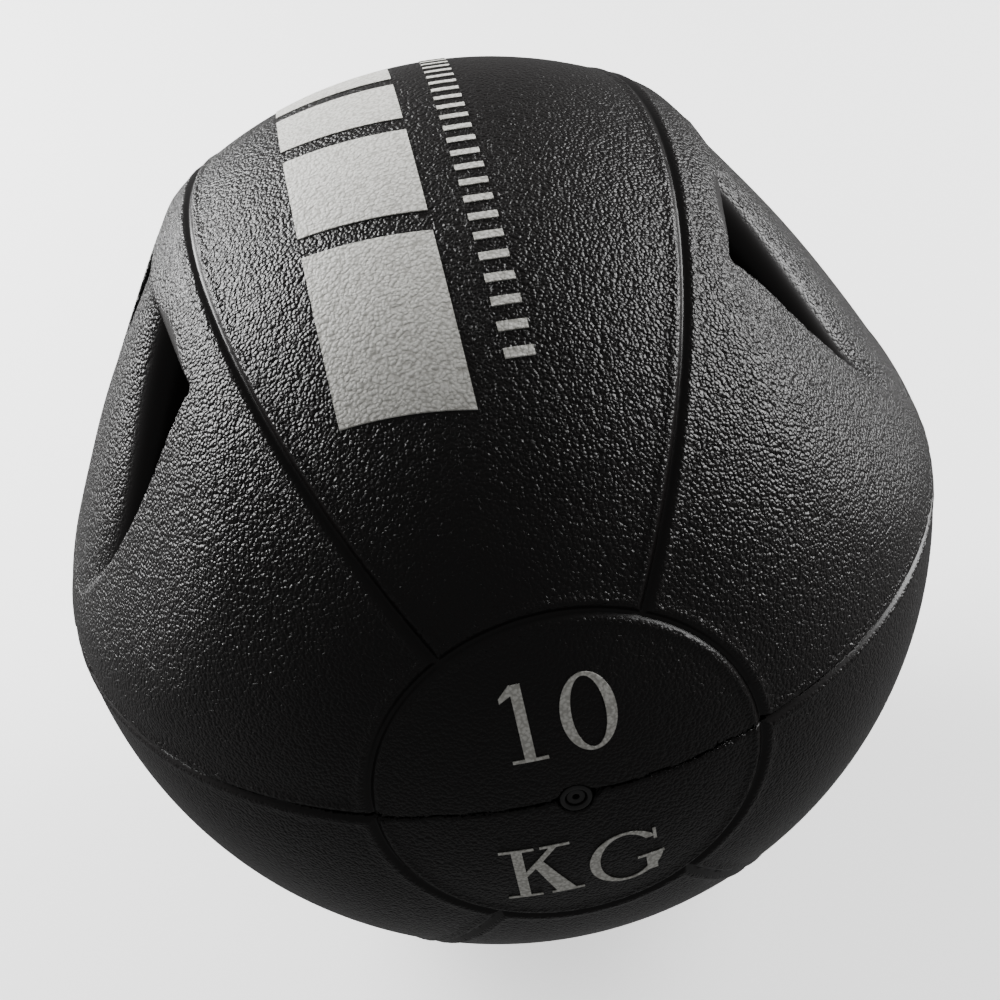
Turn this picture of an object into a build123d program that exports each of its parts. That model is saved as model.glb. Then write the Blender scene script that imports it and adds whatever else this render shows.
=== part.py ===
from build123d import *
import math
import os

# A dual-grip medicine ball: a thick hollow rubber ball in two bonded halves, with a hand pocket
# sunk into each side of the upper half and a bar bridging each pocket. Loose heavy fill lies in
# the bottom. A rubber valve closes the filling hole at the front pole.
#
# Frame, in millimetres: origin at the ball's centre, +Z up and square to the plane in which the
# halves are bonded, -Y out through the valve, +X towards the right grip.

os.makedirs("parts", exist_ok=True)

# ---------------------------------------------------------------- ball
body_radius = 137.5          # across X and Z, so the ball is 275 wide
body_half_length = 143.0     # from the centre to either pole, along Y
wall = 9.0                   # rubber thickness of the shells

# ---------------------------------------------------------------- grips
grip_angle = 30.0            # the grips' centres stand this far above the bond plane
grip_face = 126.0            # centre to the middle of a grip bar's outer face
flat_radius_along = 630.0    # the flattened side's curvature along the bar
flat_radius_across = 200.0   # and across it, front to back
flat_crest = 12.0            # its highest point, above the grip's middle
bar_thickness = 30.0         # outer face to palm side
bar_corner = 14.0            # rounding of the bar's four long edges
bar_top_width = 34.0         # front to back at the upper root
bar_foot_width = 83.0        # and at the lower root
bar_spread_top = 52.0        # the bar spreads between these heights above the grip's middle
bar_spread_foot = -20.0
pocket_rim = 118.0           # centre to the level of the pocket's front and back rims
pocket_half_width = 58.0     # half the pocket, front to back, at the rim
pocket_bow_radius = 135.0    # the front and back rims are arcs, seen square to the bar's face
pocket_widest = 38.0         # the widest place, above the grip's middle
pocket_bottom = 64.0         # centre to the pocket's lowest point
pocket_top_end = 48.8        # the pocket's upper end at the rim level, from the grip's middle
pocket_top_draft = 0.1       # how far that end slopes, for each unit of depth
pocket_foot_end = 50.0       # the lower end
pocket_foot_draft = 0.4
pocket_wall = 7.0            # rubber around the pocket

# ---------------------------------------------------------------- ring and seam grooves
seam_width = 3.0
seam_depth = 1.2
seam_count = 6               # seams from pole to pole, two of them on the bond plane
ring_half_angle = 22.0       # the end rings, seen from the centre

# ---------------------------------------------------------------- valve
valve_radius = 4.6           # the valve housing's face and barrel
valve_flange_radius = 9.0    # its flange inside the ball
valve_flange = 3.0           # flange thickness
valve_tail = 9.0             # the barrel behind the flange
valve_floor = 1.6            # closed end of the housing
core_radius = 2.7            # plug that seals round the inflating needle
needle_radius = 0.9
needle_depth = 12.0
bond_gap = 0.05              # glue line between bonded pieces

# ---------------------------------------------------------------- fill and printed marks
fill_level = -14.0           # height of the settled fill's flat top
fill_gap = 0.5
ink = 0.25                   # thickness of the printed marks
ink_gap = 0.05
figure_height = 23.0
mark_front = -92.0           # the top mark's front and back ends
mark_back = 58.0
block_left = -38.0           # the top mark's blocks, one behind another
block_width = 36.0
block_slant = 7.0            # how far their ends slant from side to side
block_lengths = [46.0, 36.0, 27.0, 20.0]
block_gap = (mark_back - mark_front - sum(block_lengths)) / (len(block_lengths) - 1)
tick_across = 12.0           # centre line of the row of ticks
tick_length = 8.0
tick_width = 2.2
tick_count = 24
tick_pitch = (mark_back - mark_front) / tick_count


def spheroid(radius, half_length):
    """A solid of revolution about Y with an elliptical outline."""
    with BuildPart() as solid:
        with BuildSketch(Plane.XY):
            with BuildLine():
                EllipticalCenterArc((0, 0), radius, half_length, start_angle=-90, arc_size=180)
                Line((0, half_length), (0, -half_length))
            make_face()
        revolve(axis=Axis.Y)
    return solid.part


# Grip frame for the right side: outwards through the grip, and along the bar, upwards. The planes
# look along the bar, along Y, and square on to the bar's face.
outwards = Vector(math.cos(math.radians(grip_angle)), 0, math.sin(math.radians(grip_angle)))
along = Vector(-math.sin(math.radians(grip_angle)), 0, math.cos(math.radians(grip_angle)))
across_bar = Plane(origin=(0, 0, 0), x_dir=(0, 1, 0), z_dir=along * -1)
side_on = Plane(origin=(0, 0, 0), x_dir=along, z_dir=along.cross(outwards))
face_on = Plane(origin=(0, 0, 0), x_dir=(0, 1, 0), z_dir=outwards)


def flattening(inset):
    """The ring-shaped solid whose outer skin is the flattened side, moved in by inset."""
    minor = flat_radius_across - inset
    major = flat_radius_along - flat_radius_across
    centre = outwards * (grip_face - flat_radius_along) + along * flat_crest
    with BuildPart() as ring:
        with Locations(Plane(origin=centre, z_dir=(0, 1, 0))):
            Torus(major, minor)
    return ring.part


def ball_form(inset):
    """The ball's outer form with both flattened sides, moved in by inset."""
    with BuildPart() as form:
        add(spheroid(body_radius - inset, body_half_length - inset))
        side = flattening(inset)
        add(side, mode=Mode.INTERSECT)
        add(side.mirror(Plane.YZ), mode=Mode.INTERSECT)
    return form.part


def pocket_side_face(grow):
    """The pocket seen from the front, with its sloping ends, grown on all sides by grow."""
    bottom = pocket_bottom - grow
    reach = body_radius
    top_shift = pocket_top_end + grow * math.sqrt(1 + pocket_top_draft**2)
    foot_shift = pocket_foot_end + grow * math.sqrt(1 + pocket_foot_draft**2)
    with BuildSketch() as face:
        with BuildLine():
            Polyline((top_shift + pocket_top_draft * (bottom - pocket_rim), bottom),
                     (top_shift + pocket_top_draft * (reach - pocket_rim), reach),
                     (-foot_shift - pocket_foot_draft * (reach - pocket_rim), reach),
                     (-foot_shift - pocket_foot_draft * (bottom - pocket_rim), bottom), close=True)
        make_face()
    return face.sketch


def pocket_plan(grow):
    """The pocket seen square on to the bar's face: two bowed rims, front and back."""
    inset = pocket_bow_radius - pocket_half_width
    with BuildSketch() as plan:
        with Locations((inset, pocket_widest)):
            Circle(pocket_bow_radius + grow)
        with Locations((-inset, pocket_widest)):
            Circle(pocket_bow_radius + grow, mode=Mode.INTERSECT)
    return plan.sketch


def pocket_form(grow):
    """The right hand pocket, open outwards, grown on all sides by grow."""
    reach = body_radius
    half_width = pocket_half_width + grow
    depth = pocket_rim - pocket_bottom + grow
    with BuildPart() as pocket:
        with BuildSketch(across_bar):
            with BuildLine():
                EllipticalCenterArc((0, pocket_rim), half_width, depth, start_angle=180, arc_size=180)
                Polyline((half_width, pocket_rim), (half_width, reach), (-half_width, reach),
                         (-half_width, pocket_rim))
            make_face()
        extrude(amount=body_radius, both=True)
        with BuildSketch(side_on):
            add(pocket_side_face(grow))
        extrude(amount=body_half_length, both=True, mode=Mode.INTERSECT)
        with BuildSketch(face_on):
            add(pocket_plan(grow))
        extrude(amount=body_radius, mode=Mode.INTERSECT)
    return pocket.part


body = ball_form(0)
pocket = pocket_form(0)

# ---------------------------------------------------------------- hollow inside
with BuildPart() as pocket_lining:
    add(pocket_form(pocket_wall))
    split(bisect_by=Plane.XY, keep=Keep.TOP)

with BuildPart() as hollow:
    add(ball_form(wall))
    add(pocket_lining.part, mode=Mode.SUBTRACT)
    add(pocket_lining.part.mirror(Plane.YZ), mode=Mode.SUBTRACT)

# ---------------------------------------------------------------- ring and seam grooves
ring_turn = math.atan(body_half_length / body_radius * math.tan(math.radians(ring_half_angle)))
ring_radius = body_radius * math.sin(ring_turn)
ring_place = body_half_length * math.cos(ring_turn)

with BuildPart() as end_ring:
    with BuildSketch(Plane.XY):
        with Locations((ring_radius, -ring_place)):
            Rectangle(seam_width, 2 * seam_depth, rotation=math.degrees(ring_turn))
    revolve(axis=Axis.Y)
    mirror(about=Plane.XZ)

with BuildPart() as seams:
    for number in range(seam_count // 2):
        with Locations(Rotation(0, number * 360 / seam_count, 0)):
            Box(3 * body_radius, 3 * body_half_length, seam_width)
    add(spheroid(body_radius + seam_depth, body_half_length + seam_depth), mode=Mode.INTERSECT)
    add(spheroid(body_radius - seam_depth, body_half_length - seam_depth), mode=Mode.SUBTRACT)
    with Locations(Rotation(90, 0, 0)):
        Cylinder(ring_radius, 3 * body_half_length, mode=Mode.SUBTRACT)

# ---------------------------------------------------------------- shells
with BuildPart() as valve_hole:
    with BuildSketch(Plane.XZ):
        Circle(valve_radius + bond_gap)
    extrude(amount=body_half_length)


def shell_cuts():
    """Takes the hollow, the grooves and the valve's hole out of the part being built."""
    add(hollow.part, mode=Mode.SUBTRACT)
    add(end_ring.part, mode=Mode.SUBTRACT)
    add(seams.part, mode=Mode.SUBTRACT)
    add(valve_hole.part, mode=Mode.SUBTRACT)


with BuildPart() as upper_shell:
    add(body)
    add(pocket, mode=Mode.SUBTRACT)
    add(pocket.mirror(Plane.YZ), mode=Mode.SUBTRACT)
    shell_cuts()
    split(bisect_by=Plane.XY, keep=Keep.TOP)
upper_shell.part.label = "upper_shell"

with BuildPart() as lower_shell:
    add(body)
    split(bisect_by=Plane.XY, keep=Keep.BOTTOM)
    shell_cuts()
lower_shell.part.label = "lower_shell"

# ---------------------------------------------------------------- grip bars
with BuildPart() as right_grip_bar:
    with BuildSketch(face_on.offset(grip_face - bar_thickness)):
        with BuildLine():
            top = Line((bar_top_width / 2, body_radius), (bar_top_width / 2, bar_spread_top))
            middle = ((bar_top_width + bar_foot_width) / 4, (bar_spread_top + bar_spread_foot) / 2)
            leaving = TangentArc(top @ 1, middle, tangent=top % 1)
            landing = TangentArc(middle, (bar_foot_width / 2, bar_spread_foot), tangent=leaving % 1)
            foot = Line(landing @ 1, (bar_foot_width / 2, -body_radius))
            Line(foot @ 1, (0, -body_radius))
            Line((0, body_radius), top @ 0)
            mirror(about=Plane.YZ)
        make_face()
    extrude(amount=bar_thickness)
    lengthwise = right_grip_bar.edges().filter_by(Axis((0, 0, 0), outwards), reverse=True)
    fillet(lengthwise.filter_by(lambda edge: abs(edge.center().Y) > bar_top_width / 4), bar_corner)
    with BuildSketch(side_on):
        add(pocket_side_face(0))
    extrude(amount=body_half_length, both=True, mode=Mode.INTERSECT)
    with BuildSketch(face_on):
        add(pocket_plan(0))
    extrude(amount=body_radius, mode=Mode.INTERSECT)
    add(body, mode=Mode.INTERSECT)
right_grip_bar.part.label = "right_grip_bar"

with BuildPart() as left_grip_bar:
    mirror(right_grip_bar.part, about=Plane.YZ)
left_grip_bar.part.label = "left_grip_bar"

# ---------------------------------------------------------------- valve
inner_radius = body_radius - wall
inner_half_length = body_half_length - wall
face_place = -body_half_length * math.sqrt(1 - (valve_radius / body_radius) ** 2)
flange_turn = math.sqrt(1 - (valve_flange_radius / inner_radius) ** 2)
flange_place = -inner_half_length * flange_turn + bond_gap
tail_place = flange_place + valve_flange + valve_tail
socket_radius = core_radius + bond_gap
core_end = tail_place - valve_floor - bond_gap

with BuildPart() as valve_housing:
    with BuildSketch(Plane.XY):
        with BuildLine():
            Polyline((socket_radius, face_place), (valve_radius, face_place),
                     (valve_radius, flange_place), (valve_flange_radius, flange_place),
                     (valve_flange_radius, flange_place + valve_flange),
                     (valve_radius, flange_place + valve_flange), (valve_radius, tail_place),
                     (0, tail_place), (0, tail_place - valve_floor),
                     (socket_radius, tail_place - valve_floor), close=True)
        make_face()
    revolve(axis=Axis.Y)
valve_housing.part.label = "valve_housing"

with BuildPart() as valve_core:
    with BuildSketch(Plane.XY):
        with BuildLine():
            Polyline((needle_radius, face_place), (core_radius, face_place),
                     (core_radius, core_end), (0, core_end), (0, face_place + needle_depth),
                     (needle_radius, face_place + needle_depth), close=True)
        make_face()
    revolve(axis=Axis.Y)
valve_core.part.label = "valve_core"

# ---------------------------------------------------------------- loose fill, settled
with BuildPart() as fill:
    add(ball_form(wall + fill_gap))
    split(bisect_by=Plane.XY.offset(fill_level), keep=Keep.BOTTOM)
fill.part.label = "fill"

# ---------------------------------------------------------------- printed marks
with BuildPart() as ink_film:
    add(spheroid(body_radius + ink_gap + ink, body_half_length + ink_gap + ink))
    add(spheroid(body_radius + ink_gap, body_half_length + ink_gap), mode=Mode.SUBTRACT)

# Roman figures and capitals: thick strokes, hairlines and slab feet as shares of their height.
thick = 0.13 * figure_height
thin = 0.04 * figure_height
foot = 0.42 * figure_height
cap = figure_height / 2


def figure_one():
    """A figure one about the origin."""
    with BuildSketch() as figure:
        Rectangle(thick, figure_height)
        with Locations((0, thin / 2 - cap)):
            Rectangle(foot, thin)
        Polygon((-thick / 2, cap), (-foot / 2, cap - 0.14 * figure_height),
                (-foot / 2, cap - 0.20 * figure_height), (-thick / 2, cap - 0.12 * figure_height),
                align=None)
    return figure.sketch


def figure_nought():
    """A nought about the origin, its sides thicker than its ends."""
    half_width = 0.33 * figure_height
    with BuildSketch() as figure:
        Ellipse(half_width, cap)
        Ellipse(half_width - thick, cap - thin, mode=Mode.SUBTRACT)
    return figure.sketch


def letter_k():
    """A capital K about the origin."""
    stem = -0.24 * figure_height
    with BuildSketch() as letter:
        with Locations((stem, 0)):
            Rectangle(thick, figure_height)
        with Locations((stem, cap - thin / 2), (stem, thin / 2 - cap)):
            Rectangle(foot, thin)
        with Locations((0.22 * figure_height, cap - thin / 2)):
            Rectangle(0.36 * figure_height, thin)
        with Locations((0.28 * figure_height, thin / 2 - cap)):
            Rectangle(0.40 * figure_height, thin)
        Polygon((stem, -0.13 * figure_height), (0.27 * figure_height, cap),
                (0.18 * figure_height, cap), (stem, -0.03 * figure_height), align=None)
        Polygon((-0.06 * figure_height, 0.12 * figure_height), (0.16 * figure_height, -cap),
                (0.40 * figure_height, -cap), (0.05 * figure_height, 0.22 * figure_height),
                align=None)
    return letter.sketch


def letter_g():
    """A capital G about the origin."""
    half_width = 0.46 * figure_height
    with BuildSketch() as letter:
        Ellipse(half_width, cap)
        Ellipse(half_width - thick, cap - thin, mode=Mode.SUBTRACT)
        with Locations((half_width, 0.10 * figure_height)):
            Rectangle(half_width, 0.36 * figure_height, mode=Mode.SUBTRACT)
        with Locations((0.30 * figure_height, -0.24 * figure_height)):
            Rectangle(thick, 0.36 * figure_height)
        with Locations((0.30 * figure_height, -0.08 * figure_height)):
            Rectangle(0.34 * figure_height, thin)
        with Locations((half_width - 2 * thin, 0.32 * figure_height)):
            Rectangle(thin, 0.20 * figure_height)
    return letter.sketch


# Places of the figures' centres on the front, across and up from the pole.
glyphs = [(figure_one, -9.5, 27.5), (figure_nought, 8.0, 26.7), (letter_k, -13.6, -27.0),
          (letter_g, 10.4, -29.5)]

with BuildPart() as weight_mark:
    for draw, across, up in glyphs:
        with BuildSketch(Plane(origin=(across, 0, up), x_dir=(1, 0, 0), z_dir=(0, -1, 0))):
            add(draw())
        extrude(amount=2 * body_half_length)
    add(ink_film.part, mode=Mode.INTERSECT)
weight_mark.part.label = "weight_mark"

# A column of slanting blocks runs front to back over the top, each shorter than the last, with a
# row of short ticks beside it.
with BuildPart() as top_mark:
    with BuildSketch(Plane.XY):
        for number, length in enumerate(block_lengths):
            front = mark_front + sum(block_lengths[:number]) + number * block_gap
            right = block_left + block_width
            Polygon((block_left, front), (right, front - block_slant),
                    (right, front + length - block_slant), (block_left, front + length),
                    align=None)
        for number in range(tick_count):
            with Locations((tick_across, mark_front + (number + 0.5) * tick_pitch)):
                Rectangle(tick_length, tick_width)
    extrude(amount=2 * body_radius)
    add(ink_film.part, mode=Mode.INTERSECT)
top_mark.part.label = "top_mark"

# ---------------------------------------------------------------- everything out
pieces = [upper_shell, lower_shell, right_grip_bar, left_grip_bar, valve_housing, valve_core,
          fill, weight_mark, top_mark]
for piece in pieces:
    export_step(piece.part, f"parts/{piece.part.label}.step")
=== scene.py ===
import math

import bmesh
import bpy
import numpy as np
from mathutils import Matrix, Vector


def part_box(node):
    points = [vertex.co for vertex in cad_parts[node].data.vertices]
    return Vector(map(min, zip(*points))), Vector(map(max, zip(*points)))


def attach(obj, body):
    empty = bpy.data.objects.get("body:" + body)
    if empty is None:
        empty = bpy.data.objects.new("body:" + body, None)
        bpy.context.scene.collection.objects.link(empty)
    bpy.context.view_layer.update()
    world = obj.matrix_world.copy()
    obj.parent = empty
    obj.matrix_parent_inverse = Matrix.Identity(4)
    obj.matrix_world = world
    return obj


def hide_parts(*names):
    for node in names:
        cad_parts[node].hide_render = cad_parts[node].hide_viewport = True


# The looks of a dual-grip rubber medicine ball. The moulded halves are drawn as one formula each,
# negative inside the rubber and worked in millimetres in the frame of the CAD model, and meshed
# from it. Everything placed in Blender is in metres.

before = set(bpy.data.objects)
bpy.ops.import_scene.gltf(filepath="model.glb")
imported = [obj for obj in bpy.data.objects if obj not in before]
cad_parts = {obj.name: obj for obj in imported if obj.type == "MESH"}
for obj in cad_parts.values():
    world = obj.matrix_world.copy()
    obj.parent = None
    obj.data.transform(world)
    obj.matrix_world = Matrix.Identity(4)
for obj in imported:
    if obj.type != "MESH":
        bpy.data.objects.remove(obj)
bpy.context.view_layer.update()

MM = 0.001
BODY = "root"

# ------------------------------------------------------------------ sizes, in millimetres
radius = -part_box("lower_shell")[0].z / MM            # across X and Z
half_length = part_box("upper_shell")[1].y / MM        # from the centre to a pole, along Y
wall = 9.0

grip_angle = math.radians(30.0)                      # the grips stand this far above the bond plane
grip_face = 126.0                                    # centre to the middle of a bar's outer face
flat_radius_along = 630.0
flat_radius_across = 200.0
flat_crest = 12.0                                    # its highest point, above the grip's middle
flat_blend = 4.0                                     # how gently the flattened side meets the ball
bar_thickness = 30.0
bar_roundness = 2.5                                  # 2 is an oval section, more is squarer
bar_top = 52.0                                       # the bar widens from here
bar_low = -20.0                                      # down to here
bar_top_half = 17.0
bar_low_half = 41.5
root_blend = 4.0                                     # fillet where a bar grows out of the pocket
pocket_rim = 118.0
pocket_half_width = 58.0
pocket_plan_radius = 135.0                           # the front and back rims, seen from the side
pocket_plan_centre = 38.0
pocket_bottom = 64.0
pocket_mouth_top = 48.8                              # the sloping ends, at the rim's level
pocket_mouth_low = 50.0
pocket_top_draft = 0.1
pocket_low_draft = 0.4
pocket_wall = 7.0
pocket_blend = 2.5                                   # round between the floor and the ends
rim_blend = 1.4
facet_slope = 0.05                                   # a bare facet lies beside each upper rim
facet_apex = (123.6, 49.4, 18.0)                     # out, along and across at its inner end
facet_corner = (116.2, 48.6, 57.0)                   # and at its outer end
facet_blend = 1.0
hollow_blend = 4.0                                   # round inside, where the pockets meet the wall

seam_planes = 3                                      # through Y; each cuts two seams, one pair level
seam_half_width = 1.25
seam_depth = 0.95
lip_height = 0.45                                    # a low lip runs along both sides of a groove
lip_place = 1.3                                      # its crest, beyond the groove's edge
lip_width = 1.2
ring_half_angle = math.radians(22.5)
flange_radius = (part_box("valve_housing")[1].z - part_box("valve_housing")[0].z) / MM / 2
valve_face_radius = 4.6
bond_rise = 2.2                                      # the bond line passes over the valve's middle
bond_rise_width = 8.0
flash_depth = 0.3                                    # the bond line's shallow groove on the end discs
flash_half_width = 0.7
joint_round = 0.06                                   # rounding of the halves' edges at the bond line

coarse_step = 4.8                                    # mesh spacing inside; three rounds halve it
skin_depths = (3.5, 1.7, 1.7)                        # a round splits faces nearer the skin than this,
fine_reaches = (3.4, 1.8)                            # and the last two only near lines, rims and valve
valve_fine_reach = 4.0                               # round the valve they reach this much further
rim_fine_reach = 0.8                                 # and this much at the pockets' rims


# ------------------------------------------------------------------ the ball as a formula
def smooth_max(a, b, blend):
    """The larger of two fields, rounded over a width where they are nearly equal."""
    gap = np.maximum(blend - np.abs(a - b), 0.0)
    return np.maximum(a, b) + gap * gap / (4.0 * blend)


def smooth_min(a, b, blend):
    """The smaller of two fields, rounded in the same way."""
    return -smooth_max(-a, -b, blend)


def spheroid(p, across, along):
    """Distance, nearly, to an ellipsoid of revolution about Y."""
    size = np.array([across, along, across])
    k = np.linalg.norm(p / size, axis=-1)
    slope = np.linalg.norm(p / size**2, axis=-1)
    return k * (k - 1.0) / np.maximum(slope, 1e-9)


def grip_axes(p, side):
    """A point's distance out through the grip, and its place along the bar."""
    x = side * p[..., 0]
    out = x * math.cos(grip_angle) + p[..., 2] * math.sin(grip_angle)
    along = -x * math.sin(grip_angle) + p[..., 2] * math.cos(grip_angle)
    return out, along


def smooth_step(a, b, x):
    """0 at a and 1 at b, easing in and out."""
    t = np.clip((x - a) / (b - a), 0.0, 1.0)
    return t * t * (3 - 2 * t)


def flat_side(p, side, inset=0.0):
    """Height above the gently crowned flat on one side."""
    out, along = grip_axes(p, side)
    lengthwise = (along - flat_crest) ** 2 / (2 * flat_radius_along)
    crosswise = p[..., 1] ** 2 / (2 * flat_radius_across)
    return out - (grip_face - inset - lengthwise - crosswise)


def outline(p, inset=0.0):
    """The ball with its two flattened sides."""
    field = spheroid(p, radius - inset, half_length - inset)
    for side in (-1, 1):
        field = smooth_max(field, flat_side(p, side, inset), flat_blend)
    return field


def pocket(p, side, grow=0.0):
    """One hand pocket, negative in the open space."""
    out, along = grip_axes(p, side)
    across = np.abs(p[..., 1])
    width = pocket_half_width + grow
    depth = pocket_rim - pocket_bottom + grow
    low = np.maximum(pocket_rim - out, 0.0)
    k = np.sqrt((across / width) ** 2 + (low / depth) ** 2)
    slope = np.sqrt((across / width**2) ** 2 + (low / depth**2) ** 2)
    trough = k * (k - 1.0) / np.maximum(slope, 1e-9)
    inwards = pocket_plan_radius - pocket_half_width
    plan = np.hypot(along - pocket_plan_centre, across + inwards) - pocket_plan_radius - grow
    top = along - pocket_mouth_top - pocket_top_draft * (out - pocket_rim) - grow
    bottom = -along - pocket_mouth_low - pocket_low_draft * (out - pocket_rim) - grow
    sides = smooth_max(trough, plan, 6.0)
    return smooth_max(sides, smooth_max(top, bottom, pocket_blend), pocket_blend)


def facet(p, side):
    """Height above the bare facet, a plane that rises away from the pocket's upper rim."""
    out, along = grip_axes(p, side)
    across = np.abs(p[..., 1])
    apex, corner = np.array(facet_apex), np.array(facet_corner)
    up = np.cross(corner - apex, [facet_slope, 1.0, 0.0])
    up /= np.linalg.norm(up) * np.sign(up[0])
    height = (out - apex[0]) * up[0] + (along - apex[1]) * up[1] + (across - apex[2]) * up[2]
    beyond = along - pocket_mouth_top - pocket_top_draft * (out - pocket_rim) + 1.0
    within = 0.5 * ((corner[2] - apex[2]) / 2 - np.abs(across - (corner[2] + apex[2]) / 2))
    return np.minimum(height, np.minimum(beyond, within))


def bar(p, side):
    """One grip bar: narrow at its upper root and spreading towards its lower one."""
    out, along = grip_axes(p, side)
    half = bar_top_half + (bar_low_half - bar_top_half) * smooth_step(bar_top, bar_low, along)
    level = out + (along - flat_crest) ** 2 / (2 * flat_radius_along) - (grip_face - bar_thickness / 2)
    across, up = np.abs(p[..., 1]) / half, np.abs(level) / (bar_thickness / 2)
    k = np.maximum(across**bar_roundness + up**bar_roundness, 1e-6) ** (1 / bar_roundness)
    power = bar_roundness - 1
    slope = np.hypot(across**power / half, up**power / (bar_thickness / 2)) / k**power
    return (k - 1.0) / np.maximum(slope, 1e-3)


def seam_distance(p):
    """Distance to the nearest of the planes that hold the pole-to-pole seams, two in each."""
    x, y, z = p[..., 0], p[..., 1], p[..., 2]
    nearest = np.full(x.shape, 1e3)
    for number in range(seam_planes):
        turn = number * math.pi / seam_planes
        nearest = np.minimum(nearest, np.abs(z * math.cos(turn) - x * math.sin(turn)))
    return nearest


def ring_distance(p):
    """Signed distance along the skin from the end rings, negative towards the pole."""
    turn = math.atan(half_length / radius * math.tan(ring_half_angle))
    across, along = np.hypot(p[..., 0], p[..., 2]), np.abs(p[..., 1])
    tangent = np.array([radius * math.cos(turn), -half_length * math.sin(turn)])
    tangent /= np.linalg.norm(tangent)
    return (across - radius * math.sin(turn)) * tangent[0] + (
        along - half_length * math.cos(turn)) * tangent[1]


def groove_profile(d):
    """How far the skin stands in (positive) or out at a distance from a seam's centre line."""
    d = np.abs(d)
    cut = seam_depth * np.exp(-((d / seam_half_width) ** 2) * 1.3)
    lip = lip_height * np.exp(-(((d - seam_half_width - lip_place) / lip_width) ** 2))
    return cut - lip


def line_distance(p):
    """Distance to the nearest groove line, seam or ring."""
    ring = ring_distance(p)
    seam = np.hypot(seam_distance(p), np.maximum(-ring, 0.0))
    return np.minimum(np.abs(ring), seam)


def rubber(p):
    """The whole moulding, solid right through."""
    field = outline(p)
    for side in (-1, 1):
        field = smooth_max(field, facet(p, side), facet_blend)
        carved = smooth_min(-pocket(p, side), bar(p, side), root_blend)
        field = smooth_max(field, carved, rim_blend)
    return field


def bond_height(p):
    """Where the halves meet: nearly flat, wavering a little, and rising over the valve."""
    x = p[..., 0]
    waver = 0.22 * np.sin(x / 7.3) + 0.16 * np.sin(x / 3.1 + 1.0)
    front = p[..., 1] < 0
    return np.where(front, waver + bond_rise * np.exp(-((x / bond_rise_width) ** 2)), waver)


def skin_field(p):
    """The moulding with its grooves, hollow inside, and with the valve's hole."""
    grooved = rubber(p) + groove_profile(line_distance(p))
    flash = np.exp(-(((p[..., 2] - bond_height(p)) / flash_half_width) ** 2))
    grooved += flash_depth * flash * smooth_step(0.5, -1.5, ring_distance(p))
    hollow = outline(p, wall)
    for side in (-1, 1):
        hollow = smooth_max(hollow, -pocket(p, side, pocket_wall), hollow_blend)
    field = smooth_max(grooved, -hollow, 0.5)
    hole = valve_face_radius + 0.1 - np.hypot(p[..., 0], p[..., 2])
    hole = np.where(p[..., 1] < 0, hole, -1e3)
    return smooth_max(field, hole, 0.8)


def half_field(p, side):
    """One moulded half, above (side 1) or below (side -1) the bond line."""
    cut = -side * (p[..., 2] - bond_height(p))
    return smooth_max(skin_field(p), cut, joint_round)


# ------------------------------------------------------------------ meshing a formula
def fill_pinches(value, rounds=8):
    """Fills grid faces whose diagonal corners differ, where a surface would touch itself."""
    for _ in range(rounds):
        for u, v in ((0, 1), (1, 2), (0, 2)):
            corners = []
            for du, dv in ((0, 0), (1, 0), (1, 1), (0, 1)):
                part = [slice(None)] * 3
                part[u] = slice(du, value.shape[u] - 1 + du)
                part[v] = slice(dv, value.shape[v] - 1 + dv)
                corners.append(value[tuple(part)])
            a, b, c, d = (corner < 0 for corner in corners)
            pinched = (a == c) & (b == d) & (a != b)
            for corner in corners:
                corner[pinched] = np.minimum(corner[pinched], -1e-3)
    return value


def surface_net(field, low, high, step):
    """Quads over a field's zero surface, one vertex in each cell that the surface crosses."""
    axes = [np.arange(a, b + step, step) for a, b in zip(low, high)]
    shape = [len(a) for a in axes]
    grid = np.stack(np.meshgrid(*axes, indexing="ij"), -1)
    value = fill_pinches(field(grid.reshape(-1, 3)).reshape(shape))
    stride = np.array([shape[1] * shape[2], shape[2], 1])
    cells, places, quads, flips = [], [], [], []
    for axis in range(3):
        near = [slice(None)] * 3
        far = [slice(None)] * 3
        near[axis], far[axis] = slice(0, -1), slice(1, None)
        a, b = value[tuple(near)], value[tuple(far)]
        index = np.argwhere((a < 0) != (b < 0))
        index = index[(index[:, (axis + 1) % 3] > 0) & (index[:, (axis + 2) % 3] > 0)]
        va, vb = a[tuple(index.T)], b[tuple(index.T)]
        place = np.stack([axes[k][index[:, k]] for k in range(3)], -1)
        place[:, axis] += step * va / (va - vb)
        one, two = stride[(axis + 1) % 3], stride[(axis + 2) % 3]
        base = index @ stride
        around = np.stack([base, base - one, base - one - two, base - two], -1)
        cells.append(around.ravel())
        places.append(np.repeat(place, 4, axis=0))
        quads.append(around)
        flips.append(va < 0)
    cells = np.concatenate(cells)
    ids, inverse = np.unique(cells, return_inverse=True)
    count = np.bincount(inverse)
    spots = np.concatenate(places)
    points = np.stack([np.bincount(inverse, spots[:, k]) / count for k in range(3)], -1)
    quads = np.searchsorted(ids, np.concatenate(quads))
    flips = np.concatenate(flips)
    quads[~flips] = quads[~flips][:, ::-1]
    return points, quads


def gradient(field, points, reach=0.05):
    """The field's slope at each point."""
    slope = np.empty_like(points)
    for axis in range(3):
        shift = np.zeros(3)
        shift[axis] = reach
        slope[:, axis] = (field(points + shift) - field(points - shift)) / (2 * reach)
    return slope


def settle(field, points, rounds=4, limit=1.5):
    """Moves points onto the field's zero surface."""
    for _ in range(rounds):
        slope = gradient(field, points)
        size = np.maximum((slope**2).sum(1), 0.1)
        move = -slope * (field(points) / size)[:, None]
        length = np.linalg.norm(move, axis=1)
        points = points + move * np.minimum(1.0, limit / np.maximum(length, 1e-9))[:, None]
    return points


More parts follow.
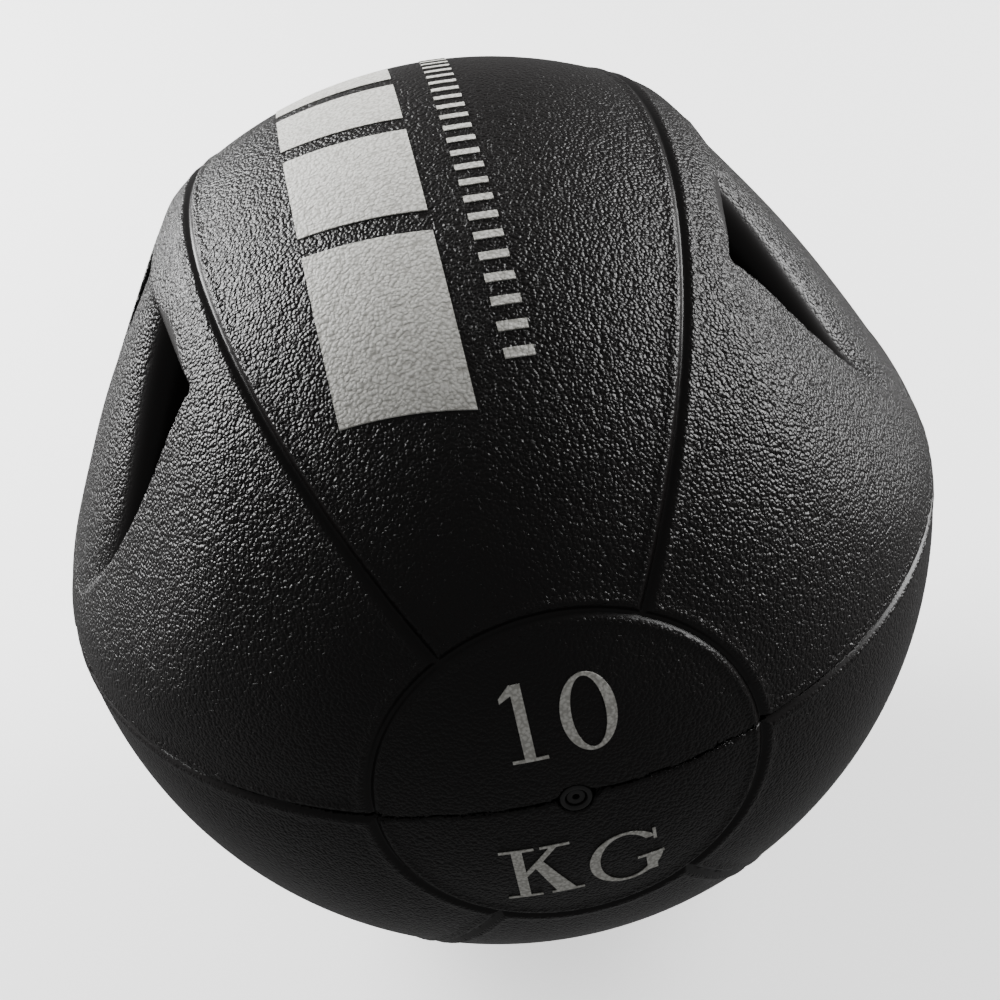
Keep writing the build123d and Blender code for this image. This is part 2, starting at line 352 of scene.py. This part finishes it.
def relax(field, points, quads, rounds=3):
    """Evens out a mesh's vertices over the surface."""
    for _ in range(rounds):
        total = np.zeros_like(points)
        count = np.zeros(len(points))
        for k in range(4):
            for other in (quads[:, (k + 1) % 4], quads[:, (k + 3) % 4]):
                for axis in range(3):
                    total[:, axis] += np.bincount(quads[:, k], points[other, axis], len(points))
                count += np.bincount(quads[:, k], minlength=len(points))
        points = settle(field, 0.5 * points + 0.5 * total / count[:, None], 2)
    return points


def refine(points, quads, others, wanted):
    """Splits each wanted quad in four, and adds the new edge points to its neighbours."""
    n = len(points)

    def key(a, b):
        return np.minimum(a, b) * np.int64(n) + np.maximum(a, b)

    chosen = quads[wanted]
    split = np.unique(np.concatenate([key(chosen[:, k], chosen[:, (k + 1) % 4]) for k in range(4)]))
    middle = (points[split // n] + points[split % n]) / 2
    centre = points[chosen].mean(1)
    edge = [n + np.searchsorted(split, key(chosen[:, k], chosen[:, (k + 1) % 4])) for k in range(4)]
    hub = n + len(split) + np.arange(len(chosen))
    fresh = [np.stack([chosen[:, k], edge[k], hub, edge[(k + 3) % 4]], -1) for k in range(4)]
    kept = quads[~wanted]
    keys = np.stack([key(kept[:, k], kept[:, (k + 1) % 4]) for k in range(4)], -1)
    found = np.isin(keys, split)
    touched = found.any(1)
    moved = [list(q) for q in kept[touched]] + others
    grown = []
    for poly in moved:
        ring = []
        for a, b in zip(poly, poly[1:] + poly[:1]):
            ring.append(int(a))
            k = min(a, b) * n + max(a, b)
            spot = int(np.searchsorted(split, k))
            if spot < len(split) and split[spot] == k:
                ring.append(n + spot)
        grown.append(ring)
    return (np.concatenate([points, middle, centre]), np.concatenate([kept[~touched]] + fresh),
            grown)


def make_mesh(name, points, quads, others, normals):
    """A Blender object from points in millimetres."""
    mesh = bpy.data.meshes.new(name)
    mesh.from_pydata((points * MM).tolist(), [], quads.tolist() + others)
    mesh.polygons.foreach_set("use_smooth", np.ones(len(mesh.polygons), bool))
    mesh.normals_split_custom_set_from_vertices(normals.tolist())
    piece = bpy.data.objects.new(name, mesh)
    bpy.context.scene.collection.objects.link(piece)
    return piece


def add_attribute(piece, name, values):
    """A number at each vertex, for the material to read."""
    attribute = piece.data.attributes.new(name, "FLOAT", "POINT")
    attribute.data.foreach_set("value", np.asarray(values, np.float32))


def grain_amount(p):
    """1 on the leather-grained skin, 0 in the grooves and on the smooth pocket walls."""
    groove = smooth_step(1.0, 2.4, line_distance(p))
    smooth_wall = np.ones(len(p))
    for side in (-1, 1):
        inside = smooth_step(1.5, -1.5, pocket(p, side, 1.0))
        below = smooth_step(-2.0, -4.5, flat_side(p, side))
        bare = smooth_step(-0.25, -0.05, facet(p, side))
        smooth_wall *= (1.0 - inside * below) * (1.0 - bare)
    return groove * smooth_wall


def moulded_half(name, side):
    """Meshes one half: coarse inside, finer on the skin, and finest along grooves and rims."""
    def field(p):
        return half_field(p, side)

    reach = np.array([radius, half_length, radius]) + 2.6 * coarse_step
    low, high = -reach, reach.copy()
    if side > 0:
        low[2] = -2.3 * coarse_step
    else:
        high[2] = 2.3 * coarse_step
    points, quads = surface_net(field, low, high, coarse_step)
    points = relax(field, settle(field, points), quads)
    others = []

    def bands(middle, level):
        skin = rubber(middle) > -skin_depths[level]
        if level == 0:
            return skin
        line = line_distance(middle)
        bond = np.abs(middle[:, 2] - bond_height(middle))
        flash = np.where((ring_distance(middle) < 0) & (middle[:, 1] < 0), bond, 1e3)
        valve = np.where(middle[:, 1] < 0, np.hypot(middle[:, 0], middle[:, 2]), 1e3)
        rim = np.full(len(middle), 1e3)
        for grip in (-1, 1):
            rim = np.minimum(rim, np.abs(pocket(middle, grip)) + np.abs(outline(middle)))
        near = fine_reaches[level - 1]
        return skin & ((line < near) | (flash < near) | (valve < near + valve_fine_reach)
                       | (rim < near + rim_fine_reach))

    for level in range(len(skin_depths)):
        wanted = bands(points[quads].mean(1), level)
        points, quads, others = refine(points, quads, others, wanted)
        points = settle(field, points, 3, 0.8)
    slope = gradient(field, points, 0.03)
    normals = slope / np.maximum(np.linalg.norm(slope, axis=1), 1e-9)[:, None]
    piece = make_mesh(name, points, quads, others, normals)
    add_attribute(piece, "grain", grain_amount(points))
    return piece


# ------------------------------------------------------------------ materials
def new_material(name):
    material = bpy.data.materials.new(name)
    material.use_nodes = True
    tree = material.node_tree
    shader = tree.nodes["Principled BSDF"]
    return material, tree, shader


def leather_height(tree):
    """Height of a fine moulded leather grain: close domed pebbles, bent and creased unevenly."""
    nodes, links = tree.nodes, tree.links
    place = nodes.new("ShaderNodeTexCoord")
    warp = nodes.new("ShaderNodeTexNoise")
    warp.inputs["Scale"].default_value = 420.0
    warp.inputs["Detail"].default_value = 2.0
    links.new(place.outputs["Object"], warp.inputs["Vector"])
    bend = nodes.new("ShaderNodeVectorMath")
    bend.operation = "MULTIPLY_ADD"
    bend.inputs[1].default_value = (0.0012, 0.0012, 0.0012)
    links.new(warp.outputs["Color"], bend.inputs[0])
    links.new(place.outputs["Object"], bend.inputs[2])
    pebble = nodes.new("ShaderNodeTexVoronoi")
    pebble.feature = "SMOOTH_F1"
    pebble.inputs["Scale"].default_value = 1000.0
    pebble.inputs["Smoothness"].default_value = 0.25
    links.new(bend.outputs[0], pebble.inputs["Vector"])
    dome = nodes.new("ShaderNodeMath")
    dome.operation = "POWER"
    dome.inputs[1].default_value = 1.6
    links.new(pebble.outputs["Distance"], dome.inputs[0])
    crease = nodes.new("ShaderNodeTexNoise")
    crease.inputs["Scale"].default_value = 1150.0
    crease.inputs["Detail"].default_value = 2.0
    links.new(bend.outputs[0], crease.inputs["Vector"])
    shallow = nodes.new("ShaderNodeMath")
    shallow.operation = "MULTIPLY"
    shallow.inputs[1].default_value = 0.55
    links.new(crease.outputs["Fac"], shallow.inputs[0])
    height = nodes.new("ShaderNodeMath")
    height.operation = "SUBTRACT"
    links.new(shallow.outputs[0], height.inputs[0])
    links.new(dome.outputs[0], height.inputs[1])
    return height.outputs[0]


grain_relief = 0.00045                                # metres from the pebbles' tops to the creases


def rubber_material():
    """Black moulded rubber: grained where the grain attribute says, satin, slightly uneven."""
    material, tree, shader = new_material("black_rubber")
    nodes, links = tree.nodes, tree.links
    shader.inputs["Specular IOR Level"].default_value = 0.25
    place = nodes.new("ShaderNodeTexCoord")
    cloud = nodes.new("ShaderNodeTexNoise")
    cloud.inputs["Scale"].default_value = 26.0
    cloud.inputs["Detail"].default_value = 5.0
    links.new(place.outputs["Object"], cloud.inputs["Vector"])
    rough = nodes.new("ShaderNodeMapRange")
    rough.inputs["To Min"].default_value = 0.27
    rough.inputs["To Max"].default_value = 0.39
    links.new(cloud.outputs["Fac"], rough.inputs["Value"])
    links.new(rough.outputs[0], shader.inputs["Roughness"])
    tint = nodes.new("ShaderNodeMix")
    tint.data_type = "RGBA"
    tint.inputs["A"].default_value = (0.0055, 0.0048, 0.0048, 1.0)
    tint.inputs["B"].default_value = (0.0100, 0.0085, 0.0083, 1.0)
    links.new(cloud.outputs["Fac"], tint.inputs["Factor"])
    links.new(tint.outputs["Result"], shader.inputs["Base Color"])
    grain = nodes.new("ShaderNodeAttribute")
    grain.attribute_name = "grain"
    bump = nodes.new("ShaderNodeBump")
    bump.inputs["Distance"].default_value = grain_relief
    links.new(grain.outputs["Fac"], bump.inputs["Strength"])
    links.new(leather_height(tree), bump.inputs["Height"])
    links.new(bump.outputs["Normal"], shader.inputs["Normal"])
    return material


def ink_material():
    """Warm grey ink: thin enough to show the grain under it, with painted shade darkening it in the
    grain's creases.
    """
    material, tree, shader = new_material("printed_ink")
    nodes, links = tree.nodes, tree.links
    shader.inputs["Roughness"].default_value = 0.55
    height = leather_height(tree)
    # Painted shade: the ink's colour goes darker where the grain's height is low, in its creases.
    painted_crease_shade = nodes.new("ShaderNodeMapRange")
    painted_crease_shade.inputs["From Min"].default_value = -0.25
    painted_crease_shade.inputs["From Max"].default_value = 0.15
    links.new(height, painted_crease_shade.inputs["Value"])
    tint = nodes.new("ShaderNodeMix")
    tint.data_type = "RGBA"
    tint.inputs["A"].default_value = (0.52, 0.51, 0.47, 1.0)
    tint.inputs["B"].default_value = (0.82, 0.81, 0.76, 1.0)
    links.new(painted_crease_shade.outputs[0], tint.inputs["Factor"])
    links.new(tint.outputs["Result"], shader.inputs["Base Color"])
    bump = nodes.new("ShaderNodeBump")
    bump.inputs["Distance"].default_value = grain_relief
    bump.inputs["Strength"].default_value = 0.5
    links.new(height, bump.inputs["Height"])
    links.new(bump.outputs["Normal"], shader.inputs["Normal"])
    return material


def mottled_material(name, dark, light, scale, rough, relief):
    """A plain moulded or granular stuff with uneven colour and a fine uneven surface."""
    material, tree, shader = new_material(name)
    nodes, links = tree.nodes, tree.links
    shader.inputs["Roughness"].default_value = rough
    place = nodes.new("ShaderNodeTexCoord")
    speckle = nodes.new("ShaderNodeTexNoise")
    speckle.inputs["Scale"].default_value = scale
    speckle.inputs["Detail"].default_value = 4.0
    links.new(place.outputs["Object"], speckle.inputs["Vector"])
    tint = nodes.new("ShaderNodeMix")
    tint.data_type = "RGBA"
    tint.inputs["A"].default_value = dark
    tint.inputs["B"].default_value = light
    links.new(speckle.outputs["Fac"], tint.inputs["Factor"])
    links.new(tint.outputs["Result"], shader.inputs["Base Color"])
    bump = nodes.new("ShaderNodeBump")
    bump.inputs["Distance"].default_value = relief
    links.new(speckle.outputs["Fac"], bump.inputs["Height"])
    links.new(bump.outputs["Normal"], shader.inputs["Normal"])
    return material


def floor_material():
    material, tree, shader = new_material("pale_floor")
    shader.inputs["Base Color"].default_value = (0.86, 0.86, 0.86, 1.0)
    shader.inputs["Roughness"].default_value = 0.8
    shader.inputs["Specular IOR Level"].default_value = 0.2
    shader.inputs["Emission Color"].default_value = (1.0, 1.0, 1.0, 1.0)
    shader.inputs["Emission Strength"].default_value = 1.1
    return material


# ------------------------------------------------------------------ pieces
black_rubber = rubber_material()

upper = moulded_half("upper_half", 1)
upper.data.materials.append(black_rubber)
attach(upper, BODY)
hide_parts("upper_shell", "right_grip_bar", "left_grip_bar")

lower = moulded_half("lower_half", -1)
lower.data.materials.append(black_rubber)
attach(lower, BODY)
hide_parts("lower_shell")

# The valve's housing and plug are turned shapes: outlines of radius and place along Y.
valve_low, valve_high = (corner.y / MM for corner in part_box("valve_housing"))
core_low, core_high = (corner.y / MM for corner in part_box("valve_core"))
core_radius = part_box("valve_core")[1].z / MM
needle_radius = 0.9
needle_depth = 12.0
rim_round = 0.85                                     # half the thickness of the valve's rounded rim
flange_low = -math.sqrt(1 - (flange_radius / (radius - wall)) ** 2) * (half_length - wall) + 0.05
flange_thickness = 3.0
valve_floor = 1.6


def round_edge(centre, size, start, end, steps=8):
    """Points on an arc, as radius and place, turning from one angle to another in degrees."""
    turns = np.radians(np.linspace(start, end, steps))
    return [(centre[0] + size * math.cos(t), centre[1] + size * math.sin(t)) for t in turns]


def turned(name, profile, steps=72):
    """A solid turned about Y from a closed outline."""
    ring = np.linspace(0, 2 * math.pi, steps, endpoint=False)
    points = [(r * math.cos(t) * MM, y * MM, r * math.sin(t) * MM) for t in ring for r, y in profile]
    n = len(profile)
    faces = [(i * n + k, i * n + (k + 1) % n, (i + 1) % steps * n + (k + 1) % n, (i + 1) % steps * n + k)
             for i in range(steps) for k in range(n)]
    mesh = bpy.data.meshes.new(name)
    mesh.from_pydata(points, [], faces)
    work = bmesh.new()
    work.from_mesh(mesh)
    bmesh.ops.remove_doubles(work, verts=work.verts, dist=1e-7)
    bmesh.ops.recalc_face_normals(work, faces=work.faces)
    work.to_mesh(mesh)
    work.free()
    mesh.polygons.foreach_set("use_smooth", np.ones(len(mesh.polygons), bool))
    mesh.set_sharp_from_angle(angle=math.radians(40))
    piece = bpy.data.objects.new(name, mesh)
    bpy.context.scene.collection.objects.link(piece)
    return piece


rim_middle = valve_face_radius - rim_round
housing_outline = (round_edge((rim_middle, valve_low + rim_round), rim_round, 0, -180, 14)
                   + [(core_radius + 0.05, valve_low + 1.5),
                      (core_radius + 0.05, valve_high - valve_floor), (0, valve_high - valve_floor),
                      (0, valve_high), (valve_face_radius, valve_high),
                      (valve_face_radius, flange_low + flange_thickness)]
                   + round_edge((flange_radius - 0.6, flange_low + flange_thickness - 0.6), 0.6, 90, 0, 5)
                   + round_edge((flange_radius - 0.6, flange_low + 0.6), 0.6, 0, -90, 5)
                   + [(valve_face_radius, flange_low)])
plug_face = valve_low + 0.75
plug_outline = (round_edge((core_radius - 0.4, plug_face + 0.4), 0.4, 0, -90, 5)
                + round_edge((needle_radius + 0.35, plug_face + 0.35), 0.35, -90, -180, 5)
                + [(needle_radius, core_low + needle_depth), (0, core_low + needle_depth),
                   (0, core_high), (core_radius, core_high)])
valve_rubber = mottled_material("soft_valve_rubber", (0.006, 0.006, 0.006, 1.0),
                                (0.014, 0.013, 0.013, 1.0), 500.0, 0.42, 0.0001)
for name, outline_points, node in (("valve_rim", housing_outline, "valve_housing"),
                                   ("needle_plug", plug_outline, "valve_core")):
    turned_piece = turned(name, outline_points)
    turned_piece.data.materials.append(valve_rubber)
    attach(turned_piece, BODY)
    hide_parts(node)


def finish_node(node, material):
    """Gives a CAD node a better material."""
    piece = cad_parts[node]
    piece.data.materials.clear()
    piece.data.materials.append(material)


ink = ink_material()
finish_node("weight_mark", ink)
finish_node("top_mark", ink)
finish_node("fill", mottled_material("iron_grit", (0.16, 0.11, 0.07, 1.0), (0.45, 0.36, 0.25, 1.0),
                                     900.0, 0.9, 0.0008))

# ------------------------------------------------------------------ floor, light and camera
floor_size = 6.0
bpy.ops.mesh.primitive_plane_add(size=floor_size, location=(0, 0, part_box("lower_shell")[0].z))
floor = bpy.context.object
floor.name = "floor"
floor.data.materials.append(floor_material())
floor.visible_diffuse = False
floor.visible_glossy = False

dome_mesh = bpy.data.meshes.new("backdrop")
dome = bmesh.new()
bmesh.ops.create_uvsphere(dome, u_segments=64, v_segments=32, radius=floor_size / 2 - 0.1)
dome.to_mesh(dome_mesh)
dome.free()
dome_mesh.materials.append(floor.data.materials[0])
backdrop = bpy.data.objects.new("backdrop", dome_mesh)
bpy.context.scene.collection.objects.link(backdrop)
for unseen_by in ("visible_diffuse", "visible_glossy", "visible_shadow"):
    setattr(backdrop, unseen_by, False)              # it doesn't change the light on the ball


def soft_light(name, place, aim, size, power):
    data = bpy.data.lights.new(name, "AREA")
    data.shape = "RECTANGLE"
    data.size, data.size_y = size
    data.energy = power
    lamp = bpy.data.objects.new(name, data)
    lamp.location = place
    lamp.rotation_euler = (Vector(aim) - Vector(place)).to_track_quat("-Z", "Y").to_euler()
    bpy.context.scene.collection.objects.link(lamp)
    return lamp


soft_light("left_soft_light", (-0.95, 0.85, 0.6), (0, 0, 0), (0.9, 0.8), 62)
soft_light("right_soft_light", (1.3, 0.35, 0.45), (0, 0, 0), (0.8, 1.0), 46)

world = bpy.data.worlds.new("studio")
bpy.context.scene.world = world
world.use_nodes = True
world.node_tree.nodes["Background"].inputs["Color"].default_value = (1.0, 1.0, 1.0, 1.0)
world.node_tree.nodes["Background"].inputs["Strength"].default_value = 0.22

camera_distance = 0.6954
camera_azimuth = math.radians(-1.89)     # from -Y towards +X
camera_elevation = math.radians(35.88)
camera_roll = math.radians(12.35)
camera_aim = Vector((0.0018, -0.0009, -0.0011))
camera_data = bpy.data.cameras.new("camera")
camera_data.lens = 78.2
camera_data.sensor_width = 36.0
camera = bpy.data.objects.new("camera", camera_data)
bpy.context.scene.collection.objects.link(camera)
outwards = Vector((math.sin(camera_azimuth) * math.cos(camera_elevation),
                   -math.cos(camera_azimuth) * math.cos(camera_elevation),
                   math.sin(camera_elevation)))
turn = (-outwards).to_track_quat("-Z", "Y").to_matrix().to_4x4()
camera.matrix_world = (Matrix.Translation(camera_aim + outwards * camera_distance) @ turn
                       @ Matrix.Rotation(-camera_roll, 4, "Z"))
bpy.context.scene.camera = camera
